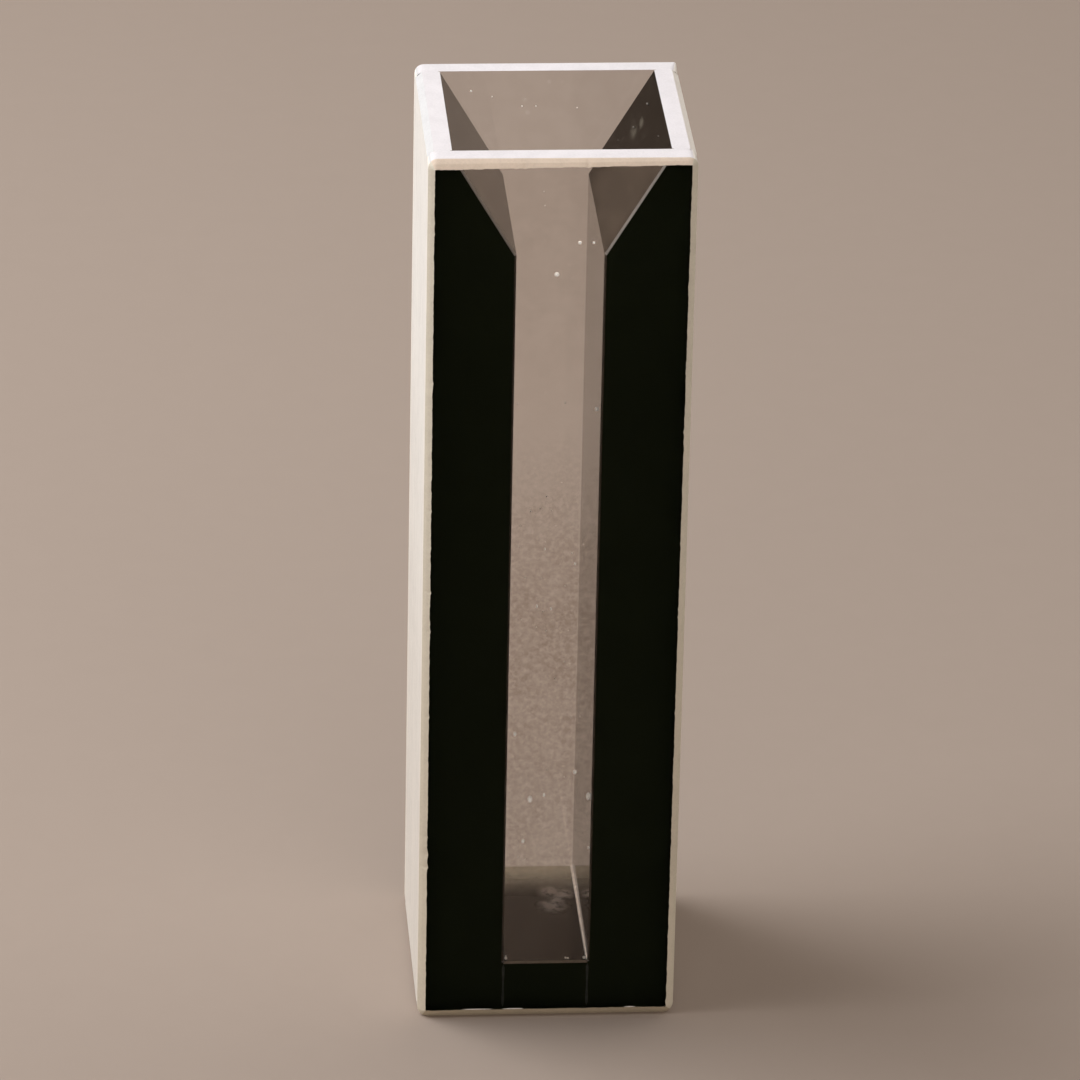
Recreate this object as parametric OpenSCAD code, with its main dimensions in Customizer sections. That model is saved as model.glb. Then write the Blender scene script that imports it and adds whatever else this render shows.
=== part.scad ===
// Semi-micro cuvette with black masking walls and a funnel mouth.
// Two clear windows, two black walls and a black base are fused into one free-standing cell.
// X runs across the slot, the front window faces -Y, and Z runs up from the centre of the bottom.

/* [Cell] */
// Outside width, from wall to wall
cell_w = 12.5; // [11:0.1:16]
// Outside depth, from window to window
cell_d = 12.5; // [7:0.1:25]
// Outside height
cell_h = 45; // [30:0.5:60]

/* [Windows] */
// Thickness of each clear window
window_t = 1.25; // [0.8:0.05:2]

/* [Slot] */
// Width of the slot between the black walls
slot_w = 4.1; // [2:0.1:6]
// Height of the slot's floor above the bottom of the cell
floor_h = 2.6; // [1.5:0.1:9]

/* [Funnel mouth] */
// Flat land left on top of each black wall
rim_land = 1.15; // [0.7:0.05:2]
// Depth of the funnel below the rim
funnel_h = 5.1; // [3:0.1:10]

/* [Ground edges] */
// Chamfer ground along the outer edges
edge_chamfer = 0.3; // [0.1:0.05:0.5]
// Left end of the front window's hand-ground top bevel, which narrows to the chamfer at its right end
front_bevel = 0.43; // [0.3:0.01:0.7]
// Fine break on the black blocks' edges inside the slot, beside their joints
joint_break = 0.1; // [0.05:0.01:0.3]

/* [Hidden] */
// Overrun of a cut past the faces that it cuts
overrun = 1;
// Light path, between the windows' inner faces
path_d = cell_d - 2 * window_t;
// Width of the mouth between the two lands
mouth_w = cell_w - 2 * rim_land;
// Width of a black wall below the funnel
wall_w = (cell_w - slot_w) / 2;
// Height at which the funnel runs out into the slot
funnel_z = cell_h - funnel_h;
// Lean of the funnel's slopes from the vertical
funnel_lean = atan((mouth_w - slot_w) / (2 * funnel_h));
// Length of the funnel's slopes
slope_len = funnel_h / cos(funnel_lean);
// Tilt of the front bevel along its edge
bevel_tilt = atan((front_bevel - edge_chamfer) / (sqrt(2) * cell_w));
// Width of the front bevel at the middle of its edge
bevel_mid = (front_bevel + edge_chamfer) / 2;

clear_quartz = [0.86, 0.84, 0.8, 0.35];
black_quartz = [0.06, 0.06, 0.05];

// Rectangle about the origin with its four corners cut at 45 degrees
module chamfered_outline(w, h) {
    polygon([
        [-w / 2 + edge_chamfer, -h / 2],
        [w / 2 - edge_chamfer, -h / 2],
        [w / 2, -h / 2 + edge_chamfer],
        [w / 2, h / 2 - edge_chamfer],
        [w / 2 - edge_chamfer, h / 2],
        [-w / 2 + edge_chamfer, h / 2],
        [-w / 2, h / 2 - edge_chamfer],
        [-w / 2, -h / 2 + edge_chamfer]
    ]);
}

// Outer form of the fused cell, with every edge ground: plan, front view and side view in common
module ground_form() {
    intersection() {
        linear_extrude(cell_h) chamfered_outline(cell_w, cell_d);
        translate([0, cell_d / 2, cell_h / 2]) rotate([90, 0, 0])
            linear_extrude(cell_d) chamfered_outline(cell_w, cell_h);
        translate([-cell_w / 2, 0, cell_h / 2]) rotate([90, 0, 90])
            linear_extrude(cell_w) chamfered_outline(cell_d, cell_h);
    }
}

// Clear plate over the whole front (side = -1) or rear (side = 1) of the cell
module window_plate(side) {
    intersection() {
        ground_form();
        translate([-cell_w / 2, side * (path_d + window_t) / 2 - window_t / 2, 0])
            cube([cell_w, window_t, cell_h]);
    }
}

// Cutter above the plane of the front bevel
module bevel_cut() {
    translate([0, (bevel_mid - cell_d) / 2, cell_h - bevel_mid / 2])
        rotate([45, 0, 0]) rotate([0, -bevel_tilt, 0])
            translate([-cell_w, -window_t, 0]) cube([2 * cell_w, 2 * window_t, window_t]);
}

// Bar along Z, turned so that it breaks a square edge that runs through its middle
module edge_bar(length) {
    linear_extrude(length) rotate(45) square(sqrt(2) * joint_break, center = true);
}

// Space above the slope of the right-hand wall
module funnel_slope() {
    translate([slot_w / 2, 0, funnel_z]) rotate([0, funnel_lean, 0])
        translate([-cell_w, -cell_d / 2, -cell_h]) cube([cell_w, cell_d, 2 * cell_h]);
}

// Breaks on the right-hand wall's edges beside one window, from the floor up to the rim
module wall_breaks(side) {
    translate([slot_w / 2, side * path_d / 2, floor_h]) edge_bar(funnel_z - floor_h + overrun);
    translate([slot_w / 2, side * path_d / 2, funnel_z]) rotate([0, funnel_lean, 0])
        translate([0, 0, -overrun]) edge_bar(slope_len + 2 * overrun);
}

// Black block between the windows, for the right-hand side of the cell
module masking_wall() {
    difference() {
        intersection() {
            ground_form();
            translate([slot_w / 2, -path_d / 2, 0]) cube([wall_w, path_d, cell_h]);
        }
        funnel_slope();
        for (side = [-1, 1]) wall_breaks(side);
    }
}

module front_window() {
    color(clear_quartz) difference() {
        window_plate(-1);
        bevel_cut();
    }
}

module rear_window() {
    color(clear_quartz) window_plate(1);
}

module left_wall() {
    color(black_quartz) mirror([1, 0, 0]) masking_wall();
}

module right_wall() {
    color(black_quartz) masking_wall();
}

// Black block that closes the slot's lower end, with its upper edges broken
module base_block() {
    color(black_quartz) difference() {
        translate([-slot_w / 2, -path_d / 2, 0]) cube([slot_w, path_d, floor_h]);
        for (side = [-1, 1]) {
            translate([side * slot_w / 2, path_d / 2 + overrun, floor_h]) rotate([90, 0, 0])
                edge_bar(path_d + 2 * overrun);
            translate([-slot_w / 2 - overrun, side * path_d / 2, floor_h]) rotate([0, 90, 0])
                edge_bar(slot_w + 2 * overrun);
        }
    }
}

front_window();
rear_window();
left_wall();
right_wall();
base_block();
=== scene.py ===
import math

import bpy
import numpy as np
from mathutils import Matrix, Vector


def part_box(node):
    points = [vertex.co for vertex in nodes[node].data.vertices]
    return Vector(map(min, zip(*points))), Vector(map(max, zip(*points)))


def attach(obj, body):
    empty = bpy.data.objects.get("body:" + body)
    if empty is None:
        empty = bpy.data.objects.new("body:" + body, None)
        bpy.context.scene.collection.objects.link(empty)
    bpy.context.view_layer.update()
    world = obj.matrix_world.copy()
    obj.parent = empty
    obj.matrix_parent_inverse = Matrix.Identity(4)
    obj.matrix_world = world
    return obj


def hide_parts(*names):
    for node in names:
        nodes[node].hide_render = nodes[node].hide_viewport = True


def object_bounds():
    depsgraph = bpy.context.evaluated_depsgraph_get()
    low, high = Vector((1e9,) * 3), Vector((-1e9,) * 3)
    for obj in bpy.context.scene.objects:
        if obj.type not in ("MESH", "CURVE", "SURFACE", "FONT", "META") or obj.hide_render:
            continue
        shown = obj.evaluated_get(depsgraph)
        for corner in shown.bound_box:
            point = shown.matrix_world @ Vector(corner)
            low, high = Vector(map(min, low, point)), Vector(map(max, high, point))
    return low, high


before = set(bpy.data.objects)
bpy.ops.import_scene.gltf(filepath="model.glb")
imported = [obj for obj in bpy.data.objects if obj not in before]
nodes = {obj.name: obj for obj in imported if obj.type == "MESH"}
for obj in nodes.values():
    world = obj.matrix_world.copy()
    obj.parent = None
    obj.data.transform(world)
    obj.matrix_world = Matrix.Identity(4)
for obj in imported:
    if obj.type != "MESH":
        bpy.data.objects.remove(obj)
cadLow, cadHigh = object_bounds()
mm = 0.001
scene = bpy.context.scene
xAxis, yAxis, zAxis = np.eye(3)

# the slot's own measures, from the block that closes its lower end
slotHalf, pathHalf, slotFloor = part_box("base_block")[1]

# how far a face's normal has to point a way, for the face to count as one that looks there
facing = {"square": 0.99, "rim": 0.9, "chamfer": 0.6, "partly": 0.5, "rising": 0.1}


def slopeLine(wallName):
    # a wall's largest leaning face is its slope of the funnel: x on it as a straight line in z, and the
    # face's normal
    leaning = [p for p in nodes[wallName].data.polygons if facing["rising"] < p.normal.z < facing["rim"]]
    slope = max(leaning, key=lambda p: p.area)
    centre, normal = slope.center.copy(), slope.normal.copy()
    return lambda z: centre.x - (z - centre.z) * normal.z / normal.x, np.array(normal)


slopeAt, slopeNormal = slopeLine("right_wall")


# small helpers for shader trees

# detail and roughness of the noises, from soft clouds to sharp grains
softNoise = (2.0, 0.5)
mildNoise = (2.0, 0.55)
livelyNoise = (3.0, 0.6)
sharpNoise = (3.0, 0.65)


def newFinish(name):
    finish = bpy.data.materials.new(name)
    finish.use_nodes = True
    tree = finish.node_tree
    return finish, tree, tree.nodes["Principled BSDF"]


def feed(tree, socket, value):
    if isinstance(value, bpy.types.NodeSocket):
        tree.links.new(value, socket)
    elif socket.type == "RGBA":
        socket.default_value = (*value, 1.0)
    else:
        socket.default_value = value


def setInputs(tree, node, **inputs):
    for key, value in inputs.items():
        feed(tree, node.inputs[key.replace("_", " ")], value)


def addNode(tree, kind, settings=None, **inputs):
    node = tree.nodes.new(kind)
    for key, value in (settings or {}).items():
        setattr(node, key, value)
    setInputs(tree, node, **inputs)
    return node


def objectPlace(tree):
    return addNode(tree, "ShaderNodeTexCoord").outputs["Object"]


def axesOf(tree, place):
    return addNode(tree, "ShaderNodeSeparateXYZ", Vector=place).outputs


def stretched(tree, place, scale):
    return addNode(tree, "ShaderNodeMapping", Vector=place, Scale=scale).outputs["Vector"]


def noiseField(tree, place, perMetre, kind):
    detail, roughness = kind
    node = addNode(
        tree, "ShaderNodeTexNoise", Vector=place, Scale=perMetre, Detail=detail, Roughness=roughness
    )
    return node.outputs["Fac"]


def spread(tree, value, low, high, toLow=0.0, toHigh=1.0):
    # smooth step from one number to another while the value runs from low to high; each step in the
    # dictionaries below holds these four numbers, or only the first two
    node = addNode(
        tree, "ShaderNodeMapRange", {"interpolation_type": "SMOOTHSTEP"},
        Value=value, From_Min=low, From_Max=high, To_Min=toLow, To_Max=toHigh,
    )
    return node.outputs["Result"]


def maths(tree, operation, first, second=0.0):
    node = addNode(tree, "ShaderNodeMath", {"operation": operation})
    feed(tree, node.inputs[0], first)
    feed(tree, node.inputs[1], second)
    return node.outputs["Value"]


def product(tree, *values):
    result = values[0]
    for value in values[1:]:
        result = maths(tree, "MULTIPLY", result, value)
    return result


def smudgeField(tree, place, smudges):
    # one in the middle of each smudge, fading to nothing at its reach
    result = 0.0
    for spot, reach in smudges:
        node = addNode(tree, "ShaderNodeVectorMath", {"operation": "DISTANCE"})
        feed(tree, node.inputs[0], place)
        feed(tree, node.inputs[1], spot)
        near = spread(tree, node.outputs["Value"], 0.0, reach, 1.0, 0.0)
        result = maths(tree, "MAXIMUM", result, near)
    return result


def scaled(colour, share):
    return tuple(share * c for c in colour)


def mixColour(tree, share, first, second):
    node = addNode(tree, "ShaderNodeMix", {"data_type": "RGBA"})
    for name, value in (("Factor_Float", share), ("A_Color", first), ("B_Color", second)):
        feed(tree, next(s for s in node.inputs if s.identifier == name), value)
    return next(s for s in node.outputs if s.identifier == "Result_Color")


# clear quartz, polished; on its inner faces a brownish film darkens the view through the lower part of the
# slot, and a mottled veil does so higher up: painted shade of what is seen through

clearQuartz = {
    "colour": (0.95, 0.93, 0.91),
    "filmColour": (0.6, 0.54, 0.49),
    "ior": 1.458,
    "shadeFilmTop": (20 * mm, 28 * mm),       # the painted shade fades out between these heights
    "shadeFilmFoot": (6 * mm, 18 * mm),       # and is thinner below these
    "thinner": 0.65,
    "grainPerMetre": 3400,
    "grainStep": (0.34, 0.62, 0.2, 1.1),
    "cloudPerMetre": 650,
    "cloudStep": (0.3, 0.7, 0.65, 1.0),
    "veilHeights": (24 * mm, 38 * mm),   # a thin mottled veil of painted shade grows between these heights
    "veil": 0.24,                        # share of the film in it
    "veilPerMetre": 800,
    "veilStep": (0.35, 0.65, 0.3, 1.0),
    "edge": 0.2 * mm,                    # the film ends over this width
}


def makeClearQuartz():
    finish, tree, shader = newFinish("clearQuartz")
    place = objectPlace(tree)
    x, y, z = axesOf(tree, place)
    edge = clearQuartz["edge"]
    inSlot = spread(tree, maths(tree, "ABSOLUTE", x), slotHalf - edge, slotHalf + edge, 1.0, 0.0)
    inside = spread(tree, maths(tree, "ABSOLUTE", y), pathHalf + edge / 2, pathHalf + edge, 1.0, 0.0)
    below = spread(tree, z, *clearQuartz["shadeFilmTop"], 1.0, 0.0)
    thicker = spread(tree, z, *clearQuartz["shadeFilmFoot"], clearQuartz["thinner"], 1.0)
    grain = noiseField(tree, place, clearQuartz["grainPerMetre"], sharpNoise)
    cloud = noiseField(tree, place, clearQuartz["cloudPerMetre"], softNoise)
    grainy = spread(tree, grain, *clearQuartz["grainStep"])
    cloudy = spread(tree, cloud, *clearQuartz["cloudStep"])
    film = product(tree, inSlot, below, thicker, grainy, cloudy)
    mottle = noiseField(tree, place, clearQuartz["veilPerMetre"], livelyNoise)
    veil = spread(tree, z, *clearQuartz["veilHeights"], 0.0, clearQuartz["veil"])
    veil = product(tree, veil, spread(tree, mottle, *clearQuartz["veilStep"]))
    film = product(tree, inside, maths(tree, "MAXIMUM", film, veil))
    # the film's colour tints what is seen through the slot darker: painted shade
    colour = mixColour(tree, film, clearQuartz["colour"], clearQuartz["filmColour"])
    setInputs(
        tree, shader,
        Base_Color=colour, Roughness=0.0, IOR=clearQuartz["ior"], Transmission_Weight=1.0,
    )
    return finish


# ground quartz: matt white, with a fine grain, soft clouds and faint streaks along the cell. Its parts are
# copies of one ground finish in different colours, set part by part by how each is lit: painted light and
# shade, as noted at each

groundQuartz = {
    # the rim: darker and bluer than the sides, which paints the cool light on top and holds back the strong
    # key there: painted light and shade
    "rim": (0.72, 0.71, 0.74),
    "side": (0.925, 0.925, 0.89),
    # the windows' narrow sides; the same lighter colour on the right wall's top chamfer, away from the key
    # lamp, is painted light there
    "windowEdge": (0.97, 0.955, 0.9),
    # a darker copy for the left top edges, which face the key lamp: painted shade
    "leftTop": (0.65, 0.67, 0.685),
    # brown and dark on the foot chamfers, which face down: painted shade
    "foot": (0.56, 0.5, 0.385),
    # darker and warmer on the windows' upright chamfers: painted shade
    "chamfer": (0.785, 0.755, 0.645),
    # beige on the windows' top bevels: painted light that comes through the ground glass
    "bevel": (0.85, 0.73, 0.61),
    # the breaks along the slot and along the slot floor's edges: darker copies down in the slot, painted
    # shade
    "break": (0.36, 0.34, 0.31),
    "baseBreak": (0.3, 0.25, 0.2),
    "pits": 0.89,                         # share of the colour left in the darkest grain
    "footShade": (0.9, 0.87, 0.84),       # share of the colour left at the foot: painted shade, darker and warmer lower down
    "footShadeHeights": (8 * mm, 38 * mm),
    "grainPerMetre": 9000,
    "mottlePerMetre": 1100,
    "cloudPerMetre": 140,
    "streakPerMetre": 1500,
    "streakScale": (1.0, 1.0, 0.04),
    "weights": (0.36, 0.26, 0.2, 0.18),   # of grain, mottle, clouds and streaks in the tone
    "toneStep": (0.36, 0.6),
    "roughnessStep": (0.3, 0.7, 0.74, 0.56),
    "bumpStrength": 0.35,
    "bumpDepth": 0.012 * mm,
}


def makeGroundQuartz(part):
    finish, tree, shader = newFinish("ground" + part[0].upper() + part[1:])
    place = objectPlace(tree)
    along = stretched(tree, place, groundQuartz["streakScale"])
    grain = noiseField(tree, place, groundQuartz["grainPerMetre"], sharpNoise)
    fields = [
        grain,
        noiseField(tree, place, groundQuartz["mottlePerMetre"], mildNoise),
        noiseField(tree, place, groundQuartz["cloudPerMetre"], softNoise),
        noiseField(tree, along, groundQuartz["streakPerMetre"], softNoise),
    ]
    tone = 0.0
    for field, weight in zip(fields, groundQuartz["weights"]):
        tone = maths(tree, "ADD", tone, product(tree, field, weight))
    shade = spread(tree, tone, *groundQuartz["toneStep"])
    colour, pits = groundQuartz[part], groundQuartz["pits"]
    # painted shade: a darker, warmer copy of the colour, mixed in towards the foot
    footShaded = tuple(c * s for c, s in zip(colour, groundQuartz["footShade"]))
    clean = mixColour(tree, shade, scaled(colour, pits), colour)
    footShadedMix = mixColour(tree, shade, scaled(footShaded, pits), footShaded)
    foot = spread(tree, axesOf(tree, place)["Z"], *groundQuartz["footShadeHeights"], 1.0, 0.0)
    bump = addNode(
        tree, "ShaderNodeBump",
        Height=grain, Strength=groundQuartz["bumpStrength"], Distance=groundQuartz["bumpDepth"],
    )
    setInputs(
        tree, shader,
        Base_Color=mixColour(tree, foot, clean, footShadedMix),
        Roughness=spread(tree, grain, *groundQuartz["roughnessStep"]),
        IOR=clearQuartz["ior"],
        Normal=bump.outputs["Normal"],
    )
    return finish


# black quartz, polished towards the slot; dust and a dried film lie on it, with smudges high on one slope

blackQuartz = {
    "colour": (0.003, 0.003, 0.0025),
    "dustColour": (0.055, 0.05, 0.042),
    "filmColour": (0.084, 0.064, 0.0475),
    "tint": (1.0, 0.75, 0.51),
    "specular": 0.67,
    "hazePerMetre": 260,
    "roughnessStep": (0.35, 0.75, 0.03, 0.09),
    "dustPerMetre": 1500,
    "dustStep": (0.56, 0.82),
    "mottlePerMetre": 900,
    "mottleStep": (0.35, 0.65, 0.62, 1.0),
    "smudgeColour": (0.115, 0.105, 0.083),
    "smudges": [(2.2, 43.05, 0.42), (1.75, 43.6, 0.28)],   # y, z and reach, mm
    "smudgeStep": (0.36, 0.58, 0.2, 1.0),
    "squeeze": 0.35,                       # mottles and smudges are longer along y, by one over this
    "filmFront": (-4.6 * mm, -3.2 * mm),   # the film is thinner in front of these
    "filmBack": (2.5 * mm, 5.0 * mm),      # and behind these
    "thinner": (0.8, 0.55),
    "filmRise": 2.1,                       # y for each z along the film's upper border, lower at the back
    "filmBorder": (-5.6 * mm, -4.6 * mm),  # y of that border at the rim
}


def makeBlackQuartz():
    finish, tree, shader = newFinish("blackQuartz")
    place = objectPlace(tree)
    axes = axesOf(tree, place)
    y, z = axes["Y"], axes["Z"]
    haze = noiseField(tree, place, blackQuartz["hazePerMetre"], softNoise)
    dust = noiseField(tree, place, blackQuartz["dustPerMetre"], sharpNoise)
    dusty = spread(tree, dust, *blackQuartz["dustStep"])
    front, back = blackQuartz["thinner"]
    forward = spread(tree, y, *blackQuartz["filmFront"], front, 1.0)
    behind = spread(tree, y, *blackQuartz["filmBack"], 1.0, back)
    fallen = product(tree, maths(tree, "SUBTRACT", z, cadHigh.z), blackQuartz["filmRise"])
    below = spread(tree, maths(tree, "ADD", y, fallen), *blackQuartz["filmBorder"], 1.0, 0.0)
    squeeze = blackQuartz["squeeze"]
    squeezed = stretched(tree, place, (1.0, squeeze, 1.0))
    mottle = noiseField(tree, squeezed, blackQuartz["mottlePerMetre"], livelyNoise)
    film = product(tree, forward, behind, below, spread(tree, mottle, *blackQuartz["mottleStep"]))
    smudges = [
        ((slopeAt(spotZ * mm), squeeze * spotY * mm, spotZ * mm), reach * mm)
        for spotY, spotZ, reach in blackQuartz["smudges"]
    ]
    smudge = smudgeField(tree, squeezed, smudges)
    smudge = product(tree, smudge, spread(tree, mottle, *blackQuartz["smudgeStep"]))
    colour = mixColour(tree, dusty, blackQuartz["colour"], blackQuartz["dustColour"])
    colour = mixColour(tree, film, colour, blackQuartz["filmColour"])
    setInputs(
        tree, shader,
        Base_Color=mixColour(tree, smudge, colour, blackQuartz["smudgeColour"]),
        Roughness=spread(tree, haze, *blackQuartz["roughnessStep"]),
        IOR=clearQuartz["ior"],
        Specular_Tint=blackQuartz["tint"],
        Specular_IOR_Level=blackQuartz["specular"],
    )
    return finish


# the same quartz where it is fused to a window: no surface is left there to mirror anything

fusedBlack = {
    "colour": (0.0186, 0.0235, 0.0128),
    "deep": 0.75,                            # share of the colour left in its darkest clouds
    "cloudPerMetre": 260,
    "groundBorder": (0.1 * mm, 0.14 * mm),   # the outer rim of the joint is ground white with the outside
}


def makeFusedBlack():
    finish, tree, shader = newFinish("fusedBlack")
    place = objectPlace(tree)
    axes = axesOf(tree, place)
    cloud = noiseField(tree, place, fusedBlack["cloudPerMetre"], livelyNoise)
    black = mixColour(tree, cloud, scaled(fusedBlack["colour"], fusedBlack["deep"]), fusedBlack["colour"])
    near, far = fusedBlack["groundBorder"]
    aside = spread(tree, maths(tree, "ABSOLUTE", axes["X"]), cadHigh.x - far, cadHigh.x - near)
    above = spread(tree, axes["Z"], cadHigh.z - far, cadHigh.z - near)
    border = maths(tree, "MAXIMUM", aside, above)
    colour = mixColour(tree, border, black, groundQuartz["side"])
    setInputs(tree, shader, Base_Color=colour, Roughness=1.0, Specular_IOR_Level=0.0)
    return finish


# the slot's floor: polished black quartz; a whitish metallic film at the back paints a band of reflected
# light there, a painted reflection, and smudges lie further forward

slotBottom = {
    "colour": (0.004, 0.0035, 0.003),
    "filmColour": (0.6, 0.63, 0.58),
    "tint": (1.0, 0.68, 0.45),
    "roughness": (0.07, 0.25),       # without and with the painted sheen
    "paintedSheenBand": (3.7 * mm, 0.2 * mm),    # the painted sheen grows between these distances from the rear window
    "spotPerMetre": 2600,
    "sheenStep": (0.2, 0.6, 0.85, 1.0),
    "smudgeColour": (0.82, 0.77, 0.74),
    # x, y and reach, mm
    "smudges": [(0.8, 0.7, 1.3), (0.45, 0.95, 0.8), (1.3, 1.9, 1.1), (0.8, 2.2, 1.1), (1.0, 1.3, 0.9)],
    "smudgeStep": (0.34, 0.62, 0.15, 1.0),
    "smudgeShare": 1.4,
}


def makeSlotBottom():
    finish, tree, shader = newFinish("slotBottom")
    place = objectPlace(tree)
    spots = noiseField(tree, place, slotBottom["spotPerMetre"], livelyNoise)
    far, near = slotBottom["paintedSheenBand"]
    paintedSheenBand = spread(tree, axesOf(tree, place)["Y"], pathHalf - far, pathHalf - near)
    # film: a whitish metallic patch at the back that paints a band of reflected light, a painted reflection
    film = product(tree, paintedSheenBand, spread(tree, spots, *slotBottom["sheenStep"]))
    smudges = [((x * mm, y * mm, slotFloor), reach * mm) for x, y, reach in slotBottom["smudges"]]
    smudge = smudgeField(tree, place, smudges)
    patchy = spread(tree, spots, *slotBottom["smudgeStep"])
    smudge = product(tree, smudge, smudge, patchy, slotBottom["smudgeShare"])
    sheened = mixColour(tree, film, slotBottom["colour"], slotBottom["filmColour"])
    setInputs(
        tree, shader,
        Base_Color=mixColour(tree, smudge, sheened, slotBottom["smudgeColour"]),
        Metallic=film,
        Roughness=spread(tree, film, 0.0, 1.0, *slotBottom["roughness"]),
        IOR=clearQuartz["ior"],
        Specular_Tint=slotBottom["tint"],
    )
    return finish


clearFinish = makeClearQuartz()
rimFinish = makeGroundQuartz("rim")
sideFinish = makeGroundQuartz("side")
edgeFinish = makeGroundQuartz("windowEdge")
leftTopFinish = makeGroundQuartz("leftTop")
footFinish = makeGroundQuartz("foot")
chamferFinish = makeGroundQuartz("chamfer")
bevelFinish = makeGroundQuartz("bevel")
breakFinish = makeGroundQuartz("break")
baseBreakFinish = makeGroundQuartz("baseBreak")
blackFinish = makeBlackQuartz()
fusedFinish = makeFusedBlack()
bottomFinish = makeSlotBottom()
print("finishes ready")


# black blocks: the solids stay, and each face takes the finish of how it was worked

# the walls' top chamfers: the darker copy on the left, which faces the key lamp, is painted shade; the
# lighter copy on the right, away from it, is painted light
leftFinishes = [blackFinish, rimFinish, sideFinish, leftTopFinish, breakFinish, fusedFinish]
rightFinishes = [blackFinish, rimFinish, sideFinish, edgeFinish, breakFinish, fusedFinish]
wallPolished, wallRim, wallSide, wallChamfer, wallBreak, wallFused = range(len(leftFinishes))
baseFinishes = [bottomFinish, baseBreakFinish, sideFinish, fusedFinish]
basePolished, baseBroken, baseGround, baseFused = range(len(baseFinishes))


def dressBlock(name, finishes, chooseFaces):
    mesh = nodes[name].data
    normals = np.zeros(len(mesh.polygons) * 3)
    mesh.polygons.foreach_get("normal", normals)
    mesh.materials.clear()
    for finish in finishes:
        mesh.materials.append(finish)
    mesh.polygons.foreach_set("material_index", chooseFaces(normals.reshape(-1, 3)).astype(np.int32))
    mesh.update()


def wallFaces(inward):
    # polished where a face looks into the slot, ground white outside and on the rim, fused to both windows.
    # The fine break is ground along the funnel's slope and polished along the slot.
    def choose(normals):
        aside, rise = np.abs(normals[:, 1]), normals[:, 2]
        slotward = normals[:, 0] * inward > facing["partly"]
        index = np.full(len(normals), wallSide)
        index[rise > facing["chamfer"]] = wallChamfer
        index[rise > facing["rim"]] = wallRim
        index[slotward] = wallPolished
        index[slotward & (aside > facing["partly"]) & (rise > facing["rising"])] = wallBreak
        index[aside > facing["square"]] = wallFused
        return index
    return choose


def baseFaces(normals):
    # polished on top, ground below, broken along the top edges, fused on the four sides
    rise = normals[:, 2]
    index = np.full(len(normals), baseFused)
    index[rise > facing["partly"]] = baseBroken
    index[rise > facing["square"]] = basePolished
    index[rise < -facing["partly"]] = baseGround
    return index


dressBlock("left_wall", leftFinishes, wallFaces(1))
dressBlock("right_wall", rightFinishes, wallFaces(-1))
dressBlock("base_block", baseFinishes, baseFaces)
print("black blocks dressed")


# shared ways to make and place the new pieces

def gridQuads(index):
    # the four corners of every cell in a grid of point numbers
    corners = [index[:-1, :-1], index[:-1, 1:], index[1:, 1:], index[1:, :-1]]
    return np.stack(corners, axis=-1).reshape(-1, 4)


def ringQuads(rings, count, first=0):
    # bands between closed rings of as many points each, numbered ring by ring
    index = first + np.arange(rings * count).reshape(rings, count)
    return gridQuads(np.column_stack([index, index[:, 0]]))


def makeMesh(name, points, faces, finishes, indices=None):
    mesh = bpy.data.meshes.new(name)
    mesh.from_pydata(points.tolist(), [], faces)
    for finish in finishes:
        mesh.materials.append(finish)
    if indices is not None:
        mesh.polygons.foreach_set("material_index", indices)
    mesh.update()
    return mesh


def signedVolume(mesh):
    # sum of the tetrahedra from the origin to each triangle
    mesh.calc_loop_triangles()
    triangles = np.zeros(len(mesh.loop_triangles) * 3, dtype=np.int32)
    mesh.loop_triangles.foreach_get("vertices", triangles)
    points = np.zeros(len(mesh.vertices) * 3)
    mesh.vertices.foreach_get("co", points)
    a, b, c = points.reshape(-1, 3)[triangles.reshape(-1, 3)].transpose(1, 0, 2)
    return np.einsum("ij,ij->i", a, np.cross(b, c)).sum() / 6


def addPiece(name, mesh, replaced=()):
    if signedVolume(mesh) < 0:
        mesh.flip_normals()
    piece = bpy.data.objects.new(name, mesh)
    scene.collection.objects.link(piece)
    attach(piece, "root")
    if replaced:
        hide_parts(*replaced)


# window plates: polished faces, hand-ground edges, and an inner face a hair inside the black blocks

windowPlate = {
    "innerCorner": 0.45 * mm,    # radius of the corners at the inner face, which meet the walls' chamfers
    # radius of the outline's corners, anticlockwise from the top right one
    "frontCorners": (0.45 * mm, 0.45 * mm, 0.45 * mm, 0.45 * mm),
    "rearCorners": (0.14 * mm, 0.45 * mm, 0.45 * mm, 0.45 * mm),
    "faceCorner": 0.04 * mm,     # radius of the polished face's corners
    "chamferTop": 0.3 * mm,
    "chamferFoot": 0.38 * mm,    # the upright chamfers widen towards the foot
    "bottomChamfer": 0.42 * mm,
    "bottomLean": 0.6,           # the foot chamfer's depth as a share of its height
    "bevelLeft": 0.45 * mm,      # the front window's top bevel narrows to the right
    "bevelRight": 0.3 * mm,
    "bevelLean": 0.68,           # that bevel's depth as a share of its height
    "rearLean": 1.0,             # and the same for the rear window's top chamfer
    "crown": 0.06,               # how far a chamfer bulges, as a share of its width
    "steps": (0.0, 0.12, 0.5, 0.88, 1.0),
    "sink": 0.01 * mm,           # overlap that makes the joint one body of quartz
    "spacing": 0.14 * mm,
    "arcSteps": 6,
    "level": 0.8,                # an outline that faces up or down more than this is a top or foot edge
    "slanted": 0.55,             # and more than this, at the left, a part of the left top corner
    "waver": 0.022,              # share by which a hand-ground width wanders
    "nicks": 0.7,                # how much deeper its widest places bite
    "waves": (24, 390),          # fewest and most waves round a plate
    "seed": 7,
}


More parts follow.
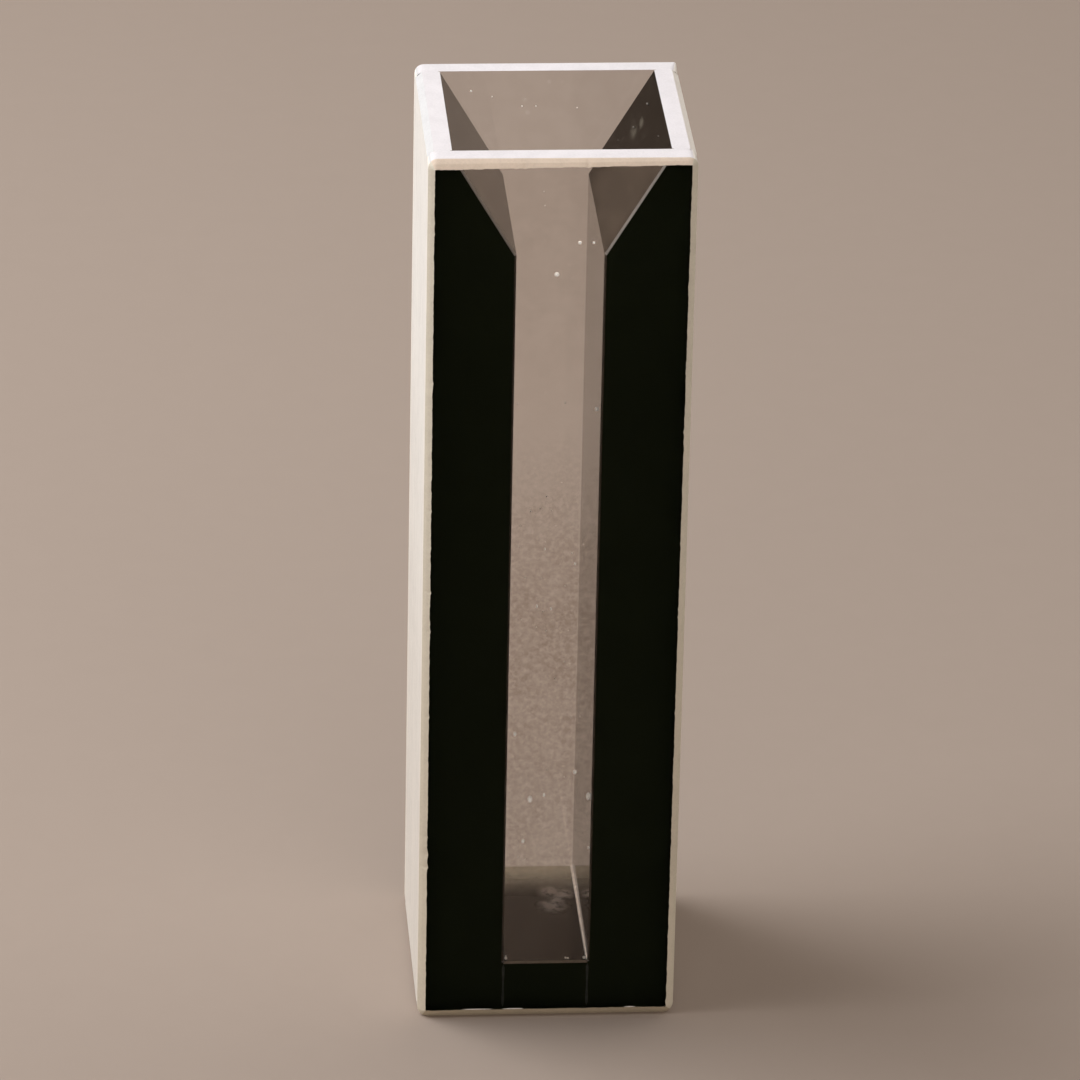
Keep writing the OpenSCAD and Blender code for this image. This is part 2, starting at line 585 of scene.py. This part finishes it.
def loopFrame(runAcross, runUp):
    # How much of each corner's value a point of the outline takes, and its outward direction: all of one
    # corner along its quarter turn, and a straight mix of two along the run between them. Corners are
    # counted anticlockwise from the top right one, and the outline starts in the middle of that one.
    quarter = np.linspace(0, math.pi / 2, windowPlate["arcSteps"] + 1)
    shares, outward = [], []
    for k, run in enumerate((runAcross, runUp, runAcross, runUp)):
        turn = quarter + k * math.pi / 2
        arc = np.column_stack([np.cos(turn), np.sin(turn)])
        along = np.linspace(0, 1, run + 1)[1:-1, None]
        here, there = np.eye(4)[k], np.eye(4)[(k + 1) % 4]
        shares += [np.tile(here, (len(arc), 1)), (1 - along) * here + along * there]
        outward += [arc, np.tile(arc[-1], (len(along), 1))]
    start = windowPlate["arcSteps"] // 2
    return np.roll(np.vstack(shares), -start, axis=0), np.roll(np.vstack(outward), -start, axis=0)


def plateOutline(low, high, insets, radius, shares, outward):
    # the corners' centres mixed along the outline, plus the radius times the outward direction
    corners = np.array([(high.x, high.z), (low.x, high.z), (low.x, low.z), (high.x, low.z)])
    signs = np.array([(1, 1), (-1, 1), (-1, -1), (1, -1)])
    centres = corners - signs * (insets + radius[:, None])
    return shares @ centres + (shares @ radius)[:, None] * outward


def handWaver(count, rng):
    # sum of sine waves round the outline, each with its own random height and phase, scaled to a spread of
    # one; what stands above one is squared and added on again, as nicks
    waves = np.arange(*windowPlate["waves"])
    heights = rng.standard_normal(len(waves)) / np.sqrt(waves)
    phases = rng.uniform(0, 2 * math.pi, len(waves))
    turn = np.linspace(0, 2 * math.pi, count, endpoint=False)
    waver = (heights * np.sin(np.outer(turn, waves) + phases)).sum(1)
    waver = waver / waver.std()
    return waver + windowPlate["nicks"] * np.maximum(waver - 1, 0) ** 2


def plateRings(low, high, outer, bevels, lean, corners, runs, rng):
    # A chamfer's section is carried round the outline: from the polished face it runs out to the full
    # outline while it goes down by its depth, with a slight bulge. The last ring is the outline at the
    # inner face.
    shares, outward = loopFrame(*runs)
    top, foot, bottom = (windowPlate[k] for k in ("chamferTop", "chamferFoot", "bottomChamfer"))
    uprights = np.array([top, top, foot, foot])
    levels = np.array([bevels[1], bevels[0], bottom, bottom])
    insets = np.column_stack([uprights, levels])
    level = outward[:, 1] ** 2
    width = (1 - level) * (shares @ uprights) + level * (shares @ levels)
    leans = np.where(outward[:, 1] > 0, lean, windowPlate["bottomLean"])
    depth = width * (1 - (1 - leans) * level)
    wander = windowPlate["waver"] * handWaver(len(width), rng) * width
    face = low.y if outer < 0 else high.y
    inner = (high.y if outer < 0 else low.y) - outer * windowPlate["sink"]
    rings = []
    for t in windowPlate["steps"]:
        left = 1 - t
        bulge = windowPlate["crown"] * width * math.sin(math.pi * t) / math.sqrt(2)
        radius = t * np.array(corners) + left * windowPlate["faceCorner"]
        flat = plateOutline(low, high, left * insets, radius, shares, outward)
        flat = flat - outward * (left * wander - bulge)[:, None]
        rings.append(np.column_stack([flat[:, 0], face - outer * (depth * t - bulge), flat[:, 1]]))
    flat = plateOutline(low, high, 0 * insets, np.full(4, windowPlate["innerCorner"]), shares, outward)
    rings.append(np.column_stack([flat[:, 0], np.full(len(flat), inner), flat[:, 1]]))
    return rings, outward


def fillRing(ring, across, up, firstNew):
    # grid over a closed ring: the mix of its top and foot, plus the mix of its two sides, less the mix of
    # its corners
    i, j = np.arange(across + 1), np.arange(up + 1)
    index = np.zeros((up + 1, across + 1), dtype=int)
    index[0], index[:, -1] = i, across + j
    index[-1], index[:, 0] = 2 * across + up - i, (2 * across + 2 * up - j) % len(ring)
    top, foot, right, left = ring[index[0]], ring[index[-1]], ring[index[:, 0]], ring[index[:, -1]]
    u, v = (i / across)[None, :, None], (j / up)[:, None, None]
    ends = (1 - v) * ((1 - u) * top[0] + u * top[-1]) + v * ((1 - u) * foot[0] + u * foot[-1])
    patch = (1 - v) * top + v * foot + (1 - u) * right[:, None] + u * left[:, None] - ends
    index[1:-1, 1:-1] = firstNew + np.arange((up - 1) * (across - 1)).reshape(up - 1, across - 1)
    return patch[1:-1, 1:-1].reshape(-1, 3), gridQuads(index)


plateFinishes = [clearFinish, edgeFinish, chamferFinish, bevelFinish, rimFinish, leftTopFinish, footFinish]
plateOrder = range(len(plateFinishes))
platePolished, plateEdge, plateChamfer, plateBevel, plateRim, plateLeftTop, plateFoot = plateOrder


def makeWindow(nodeName, outer, bevels, lean, corners, rng):
    # the rings joined by bands of quads, with a grid over the polished face and one over the inner face
    name = nodeName + "_plate"
    low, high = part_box(nodeName)
    runs = [round((high[k] - low[k]) / windowPlate["spacing"]) for k in (0, 2)]
    rings, outward = plateRings(low, high, outer, bevels, lean, corners, runs, rng)
    count, last = len(outward), len(rings) - 1
    across, up = (run + windowPlate["arcSteps"] for run in runs)
    facePoints, faceQuads = fillRing(rings[0], across, up, len(rings) * count)
    # the inner grid is numbered from its own ring, which is the last one
    innerPoints, innerQuads = fillRing(rings[last], across, up, count + len(facePoints))
    faces = np.vstack([ringQuads(len(rings), count), faceQuads[:, ::-1], innerQuads + last * count])
    aside, rise = outward.T
    top, bottom = rise > windowPlate["level"], rise < -windowPlate["level"]
    leftTop = (rise > windowPlate["slanted"]) & (aside < 0)
    # the bevel, foot, rim and left top corner take the copies of the ground finish that carry painted light
    # and shade
    chamfers = np.select([top, bottom], [plateBevel, plateFoot], plateChamfer)
    edges = np.select([top, leftTop], [plateRim, plateLeftTop], plateEdge)
    polished = np.full(len(faceQuads) + len(innerQuads), platePolished)
    indices = np.concatenate([chamfers] * (last - 1) + [edges, polished]).astype(np.int32)
    points = np.vstack(rings + [facePoints, innerPoints])
    mesh = makeMesh(name, points, faces.tolist(), plateFinishes, indices)
    addPiece(name, mesh, [nodeName])
    print(nodeName, "plate holds", round(signedVolume(mesh) / mm ** 3, 1), "mm3")


rng = np.random.default_rng(windowPlate["seed"])
frontBevels = (windowPlate["bevelLeft"], windowPlate["bevelRight"])
rearBevels = (windowPlate["chamferTop"], windowPlate["chamferTop"])
makeWindow("front_window", -1, frontBevels, windowPlate["bevelLean"], windowPlate["frontCorners"], rng)
makeWindow("rear_window", 1, rearBevels, windowPlate["rearLean"], windowPlate["rearCorners"], rng)
print("windows ready")


# beads, seams, painted glints and specks: one closed ring section carried along a short path

def ringTube(path, wide, tall, acrossAxis, tallAxis, sides):
    # point = path + cos(turn) * wide * across + sin(turn) * tall * up; the path's first and last point
    # close the ends
    turn = np.linspace(0, 2 * math.pi, sides, endpoint=False)
    body = path[1:-1]
    ring = np.cos(turn)[None, :, None] * wide[:, None, None] * np.array(acrossAxis)
    ring = ring + np.sin(turn)[None, :, None] * tall[:, None, None] * np.array(tallAxis)
    points = np.vstack([path[:1], (body[:, None, :] + ring).reshape(-1, 3), path[-1:]])
    here = np.arange(sides)
    there = np.roll(here, -1)
    last = len(points) - 1
    foot = np.column_stack([np.zeros(sides, int), there + 1, here + 1])
    head = np.column_stack([np.full(sides, last), last - sides + here, last - sides + there])
    return points, ringQuads(len(body), sides, 1).tolist() + foot.tolist() + head.tolist()


def joinTubes(tubes):
    # points stacked one after another, with each tube's faces counted on from the points before it
    points, faces, count = [], [], 0
    for tubePoints, tubeFaces in tubes:
        points.append(tubePoints)
        faces += [[corner + count for corner in face] for face in tubeFaces]
        count += len(tubePoints)
    return np.vstack(points), faces


def lens(centre, longHalf, wideHalf, tallHalf, longAxis, acrossAxis, tallAxis, rings=5, sides=8):
    # ellipsoid: along its long axis the section's half sizes follow a circle
    share = np.linspace(-1, 1, rings + 2)
    swell = np.sqrt(1 - share[1:-1] ** 2)
    path = np.array(centre) + np.outer(share * longHalf, longAxis)
    return ringTube(path, swell * wideHalf, swell * tallHalf, acrossAxis, tallAxis, sides)


plainGrain = {
    "darkest": 0.75,             # share of the colour left in the darkest grain
    "step": (0.35, 0.65),
}


def plainFinish(name, colour, roughness, perMetre, specular=0.5, metallic=0.0, paintedGlow=0.0):
    # one colour, broken up by a fine noise, and a glow in that colour: painted light, as the piece is no
    # lamp
    finish, tree, shader = newFinish(name)
    noise = noiseField(tree, objectPlace(tree), perMetre, livelyNoise)
    shade = spread(tree, noise, *plainGrain["step"])
    setInputs(
        tree, shader,
        Base_Color=mixColour(tree, shade, scaled(colour, plainGrain["darkest"]), colour),
        Roughness=roughness,
        Specular_IOR_Level=specular,
        Metallic=metallic,
        Emission_Color=colour,
        Emission_Strength=paintedGlow,
    )
    return finish


fusedBeads = {
    # the right bead: a light metallic copy with a painted glow, a painted highlight along its joint; the
    # left one: a darker copy, painted shade
    "right": {"colour": (0.97, 0.93, 0.89), "backHalf": 0.075 * mm, "frontHalf": 0.048 * mm, "paintedGlow": 0.12},
    "left": {"colour": (0.2, 0.2, 0.19), "backHalf": 0.06 * mm, "frontHalf": 0.09 * mm, "paintedGlow": 0.0},
    "tilt": math.radians(60),    # of the bead's flat from the vertical wall
    "thick": 0.25,               # share of its width
    "inset": 0.7,                # of its middle from the wall, as a share of its half width
    "lift": 0.55,                # of its middle from the floor, in the same way
    "backGap": 0.05 * mm,        # left free at the rear window
    "gaps": 0.12 * mm,           # and at both windows together
    "climb": 0.04 * mm,          # its back end runs up the rear window
    "climbFade": 30,
    "rings": 60,
    "sides": 12,
    "lumpRings": 5,
    "waver": 0.08,
    "roughness": 0.2,
    "metallic": 1.0,
    "grainPerMetre": 3000,
    "seed": 11,
}


def makeFusedBeads():
    # flat thread of quartz in each corner between floor and wall: an ellipse carried from the rear window
    # to the front one, with its half width going from the back to the front value in slight lumps
    rng = np.random.default_rng(fusedBeads["seed"])
    share = np.linspace(0, 1, fusedBeads["rings"] + 2)
    lean, rise = math.sin(fusedBeads["tilt"]), math.cos(fusedBeads["tilt"])
    smoothing = np.ones(fusedBeads["lumpRings"]) / fusedBeads["lumpRings"]
    for side, name in ((1, "right"), (-1, "left")):
        bead = fusedBeads[name]
        lump = 1 + fusedBeads["waver"] * np.convolve(rng.standard_normal(len(share)), smoothing, "same")
        half = (bead["backHalf"] + share * (bead["frontHalf"] - bead["backHalf"])) * lump
        climb = fusedBeads["climb"] * np.exp(-share * fusedBeads["climbFade"])
        path = np.column_stack([
            side * (slotHalf - fusedBeads["inset"] * half),
            pathHalf - fusedBeads["backGap"] - share * (2 * pathHalf - fusedBeads["gaps"]),
            slotFloor + fusedBeads["lift"] * half + climb,
        ])
        across, up = np.array((side * lean, 0, rise)), np.array((-side * rise, 0, lean))
        wide = half[1:-1]
        tube = ringTube(path, wide, fusedBeads["thick"] * wide, across, up, fusedBeads["sides"])
        finish = plainFinish(
            name + "Bead", bead["colour"], fusedBeads["roughness"], fusedBeads["grainPerMetre"],
            metallic=fusedBeads["metallic"], paintedGlow=bead["paintedGlow"],
        )
        addPiece(name + "_bead", makeMesh(name + "_bead", *tube, [finish]))


seamLine = {
    "colour": (0.07, 0.075, 0.068),
    "half": 0.055 * mm,
    "proud": 0.004 * mm,
    "margin": 0.12 * mm,         # left free at both ends
    "rings": 12,
    "sides": 6,
    "waver": 0.25,               # share by which the half width wanders
    "waverTurn": 9,              # radians of it from end to end
    "roughness": 1.0,
    "specular": 0.0,
    "grainPerMetre": 4000,
}


def makeSeams():
    # upright joint lines where the slot's floor block meets the walls, seen through the windows: a flat
    # ellipse carried up each of the four, its half width wandering in a sine
    share = np.linspace(0, 1, seamLine["rings"] + 2)
    height = seamLine["margin"] + share * (slotFloor - 2 * seamLine["margin"])
    half = seamLine["half"] * (1 + seamLine["waver"] * np.sin(seamLine["waverTurn"] * share[1:-1]))
    proud = np.full(len(half), seamLine["proud"])
    tubes = []
    for x in (-slotHalf, slotHalf):
        for y in (-pathHalf, pathHalf):
            path = np.column_stack([np.full(len(share), x), np.full(len(share), y), height])
            tubes.append(ringTube(path, half, proud, xAxis, yAxis, seamLine["sides"]))
    finish = plainFinish(
        "jointSeam", seamLine["colour"], seamLine["roughness"], seamLine["grainPerMetre"],
        seamLine["specular"],
    )
    addPiece("base_seams", makeMesh("base_seams", *joinTubes(tubes), [finish]))


edgeGlints = {
    "colour": (0.96, 0.94, 0.91),
    "places": [(-3.35, 0.8), (-1.6, 0.55), (4.1, 0.3)],   # middle and half length along the front foot, mm
    "height": 0.45 * mm,
    "half": 0.03 * mm,
    "thick": 0.012 * mm,
    "sunk": 0.5,                 # share of its thickness that lies below the surface
    "rings": 9,
    "roughness": 0.4,
    "grainPerMetre": 5000,
}


def makeEdgeGlints():
    # white slivers along the lower border of the front window's polished face, each a flat ellipsoid:
    # painted glints
    y = cadLow.y + edgeGlints["sunk"] * edgeGlints["thick"]
    tubes = []
    for x, longHalf in edgeGlints["places"]:
        centre = (x * mm, y, edgeGlints["height"])
        sizes = (longHalf * mm, edgeGlints["half"], edgeGlints["thick"])
        tubes.append(lens(centre, *sizes, xAxis, zAxis, yAxis, edgeGlints["rings"]))
    finish = plainFinish(
        "edgeGlints", edgeGlints["colour"], edgeGlints["roughness"], edgeGlints["grainPerMetre"]
    )
    addPiece("edge_glints", makeMesh("edge_glints", *joinTubes(tubes), [finish]))


dustSpecks = {
    "colour": (0.96, 0.905, 0.84),
    # each kind takes a share of that colour, a smaller one on the slope, which the key lamp lights: painted
    # shade; its glow is painted light, standing in for the light that comes through from behind
    "upper": {"share": 1.0, "paintedGlow": 0.45, "stretch": (0.85, 1.25)},
    "lower": {"share": 1.0, "paintedGlow": 0.25, "stretch": (1.3, 1.9)},
    "slope": {"share": 0.35, "paintedGlow": 0.0, "stretch": (1.0, 1.4)},
    "grains": {"share": 1.0, "paintedGlow": 0.08, "stretch": (0.85, 1.25)},
    # x, z and half size in mm of the specks inside the front window, high up and further down
    "frontHigh": [(-0.15, 38.9, 0.12), (0.89, 40.5, 0.085), (1.54, 40.5, 0.06)],
    "frontLow": [
        (-0.91, 11.45, 0.12), (1.23, 12.9, 0.09), (-1.7, 15.0, 0.08), (-1.21, 9.2, 0.08),
        (-0.24, 11.7, 0.06), (-0.77, 21.8, 0.05), (-0.1, 21.65, 0.045), (-0.44, 24.8, 0.045),
        (1.0, 24.0, 0.055), (-0.84, 43.1, 0.016), (-0.78, 42.4, 0.016),
    ],
    # x, z and half size inside the rear window
    "rearHigh": [
        (-3.6, 44.0, 0.05), (-1.16, 43.2, 0.035), (-0.5, 43.2, 0.035), (-2.6, 43.7, 0.03),
        (1.47, 43.1, 0.03),
    ],
    # y, z and half size on the right slope and on the right wall
    "rightSlope": [(2.6, 44.2, 0.05), (2.4, 43.1, 0.04), (-1.95, 44.4, 0.025), (3.4, 42.05, 0.02)],
    "rightWall": [(-4.2, 11.2, 0.12), (-2.9, 31.1, 0.06), (-4.4, 8.5, 0.05)],
    # x, y and half size on the slot's floor
    "slotFloor": [
        (-1.92, -4.72, 0.08), (-1.9, -4.45, 0.05), (1.0, -4.72, 0.06), (1.12, -4.75, 0.05),
        (1.9, -4.75, 0.085),
    ],
    "fine": 18,                  # grains scattered inside the lower part of each window
    "fineReach": 0.95,           # share of the slot's width that they lie in
    "fineHalf": (0.018, 0.042),  # mm
    "fineHeights": (8.0, 28.0),  # mm
    "lift": 0.7,                 # of a fleck's middle from its surface, as a share of its half size
    "flat": 0.8,                 # its half thickness, in the same way
    "roughness": 0.8,
    "specular": 0.2,
    "grainPerMetre": 9000,
    "seed": 23,
}


def makeDust():
    rng = np.random.default_rng(dustSpecks["seed"])

    def onFront(x, z, half):
        return (x * mm, -pathHalf, z * mm), half * mm, yAxis, zAxis

    def onRear(x, z, half):
        return (x * mm, pathHalf, z * mm), half * mm, -yAxis, zAxis

    def onSlope(y, z, half):
        return (slopeAt(z * mm), y * mm, z * mm), half * mm, slopeNormal, yAxis

    def onWall(y, z, half):
        return (slotHalf, y * mm, z * mm), half * mm, -xAxis, zAxis

    def onFloor(x, y, half):
        return (x * mm, y * mm, slotFloor), half * mm, zAxis, xAxis

    def scattered():
        count, reach = dustSpecks["fine"], dustSpecks["fineReach"]
        x = rng.uniform(-reach, reach, count) * slotHalf / mm
        z = rng.uniform(*dustSpecks["fineHeights"], count)
        return zip(x, z, rng.uniform(*dustSpecks["fineHalf"], count))

    def fleck(centre, half, normal, long, stretch):
        # lump that lies on a surface, a little sunk and stretched along it
        middle = np.array(centre) + dustSpecks["lift"] * half * normal
        sizes = (half * rng.uniform(*stretch), half, dustSpecks["flat"] * half)
        return lens(middle, *sizes, long, np.cross(normal, long), normal)

    groups = {
        "upper": [(onFront, dustSpecks["frontHigh"]), (onRear, dustSpecks["rearHigh"])],
        "lower": [(onFront, dustSpecks["frontLow"]), (onWall, dustSpecks["rightWall"])],
        "slope": [(onSlope, dustSpecks["rightSlope"])],
        "grains": [(onFloor, dustSpecks["slotFloor"]), (onFront, scattered()), (onRear, scattered())],
    }
    for name, group in groups.items():
        kind = dustSpecks[name]
        flecks = [fleck(*place(*spot), kind["stretch"]) for place, spots in group for spot in spots]
        finish = plainFinish(
            name + "Dust", scaled(dustSpecks["colour"], kind["share"]), dustSpecks["roughness"],
            dustSpecks["grainPerMetre"], dustSpecks["specular"], paintedGlow=kind["paintedGlow"],
        )
        addPiece(name + "_dust", makeMesh(name + "_dust", *joinTubes(flecks), [finish]))
        print(len(flecks), name, "flecks of dust")


makeFusedBeads()
makeSeams()
makeEdgeGlints()
makeDust()
print("small traces ready")


# floor, light and camera

cellMiddle = Vector((0, 0, (cadLow.z + cadHigh.z) / 2))

floorSheet = {
    "half": 2.5,
    "cells": 8,
    "colour": (0.34, 0.285, 0.245),
    "palest": 1.03,              # share of the colour in the palest grain
    "roughness": 0.9,
    "specular": 0.1,
    "grainPerMetre": 500,
}


def makeFloor():
    # flat square grid at the height that the cell stands on
    edge = np.linspace(-floorSheet["half"], floorSheet["half"], floorSheet["cells"] + 1)
    x, y = np.meshgrid(edge, edge)
    points = np.column_stack([x.ravel(), y.ravel(), np.full(x.size, cadLow.z)])
    faces = gridQuads(np.arange(x.size).reshape(x.shape)).tolist()
    finish, tree, shader = newFinish("floorPaper")
    grain = noiseField(tree, objectPlace(tree), floorSheet["grainPerMetre"], livelyNoise)
    colour = floorSheet["colour"]
    colour = mixColour(tree, grain, colour, scaled(colour, floorSheet["palest"]))
    setInputs(
        tree, shader,
        Base_Color=colour, Roughness=floorSheet["roughness"], Specular_IOR_Level=floorSheet["specular"],
    )
    floor = bpy.data.objects.new("floor", makeMesh("floor", points, faces, [finish]))
    scene.collection.objects.link(floor)
    floor.visible_glossy = False  # the windows mirror the dim studio and not the sheet


studioLight = {
    "keyFrom": (-0.6, 0.19, 0.78),
    "keyDistance": 0.28,
    "keySize": 0.22,
    "keyPower": 0.96,
    "keyColour": (1.0, 0.985, 0.99),
    "fillFrom": (0.05, -0.96, 0.28),
    "fillDistance": 0.6,
    "fillSize": 0.6,
    "fillPower": 0.9,
    "fillColour": (1.0, 0.97, 0.94),
    "sideFrom": (0.6, 0.42, 0.69),
    "sideDistance": 0.45,
    "sideSize": 0.4,
    "sidePower": 0.47,
    "sideColour": (1.0, 0.97, 0.94),
    "below": (0.0, 0.0, 0.0),
    "horizon": (0.42, 0.34, 0.28),
    "horizonRise": (-0.02, 0.0),   # from the colour below to that of the horizon
    "overhead": (0.15, 0.13, 0.115),
    "overheadRise": (0.45, 0.9),   # and from there to the one overhead
}


def makeSoftbox(name):
    lamp = bpy.data.lights.new(name + "Softbox", "AREA")
    lamp.shape = "SQUARE"
    lamp.size = studioLight[name + "Size"]
    lamp.energy = studioLight[name + "Power"]
    lamp.color = studioLight[name + "Colour"]
    softbox = bpy.data.objects.new(name + "Softbox", lamp)
    scene.collection.objects.link(softbox)
    away = Vector(studioLight[name + "From"]).normalized()
    softbox.location = cellMiddle + away * studioLight[name + "Distance"]
    softbox.rotation_euler = away.to_track_quat("Z", "Y").to_euler()


def makeRoomLight():
    # dark below the horizon, warm at the horizon and dimmer overhead
    world = bpy.data.worlds.new("room")
    world.use_nodes = True
    tree = world.node_tree
    rise = axesOf(tree, addNode(tree, "ShaderNodeTexCoord").outputs["Generated"])["Z"]
    high = spread(tree, rise, *studioLight["overheadRise"])
    sky = mixColour(tree, high, studioLight["horizon"], studioLight["overhead"])
    lit = mixColour(tree, spread(tree, rise, *studioLight["horizonRise"]), studioLight["below"], sky)
    setInputs(tree, tree.nodes["Background"], Color=lit)
    scene.world = world


photoView = {
    "azimuth": -4.543,          # degrees, a little left of the front window
    "elevation": 25.241,        # degrees above the floor
    "roll": 1.212,              # degrees
    "distance": 343.2 * mm,     # from the middle of the cell
    "lens": 237.4,              # mm
    "sensor": 36.0,             # mm
    "shift": (-0.00495, 0.00371),
    "clip": (0.01, 20.0),
}


def makeCamera():
    turn, rise, roll = (math.radians(photoView[k]) for k in ("azimuth", "elevation", "roll"))
    back = Vector((math.sin(turn) * math.cos(rise), -math.cos(turn) * math.cos(rise), math.sin(rise)))
    right = Vector((math.cos(turn), math.sin(turn), 0))
    up = back.cross(right)
    rolledRight = math.cos(roll) * right + math.sin(roll) * up
    rolledUp = math.cos(roll) * up - math.sin(roll) * right
    optics = bpy.data.cameras.new("photoCamera")
    optics.sensor_width = photoView["sensor"]
    optics.lens = photoView["lens"]
    optics.shift_x, optics.shift_y = photoView["shift"]
    optics.clip_start, optics.clip_end = photoView["clip"]
    camera = bpy.data.objects.new("photoCamera", optics)
    scene.collection.objects.link(camera)
    turned = Matrix((rolledRight, rolledUp, back)).transposed()
    camera.matrix_world = Matrix.Translation(cellMiddle + back * photoView["distance"]) @ turned.to_4x4()
    scene.camera = camera


makeFloor()
makeSoftbox("key")
makeSoftbox("fill")
makeSoftbox("side")
makeRoomLight()
makeCamera()
scene.view_settings.view_transform = "Standard"
print("floor, light and camera ready")
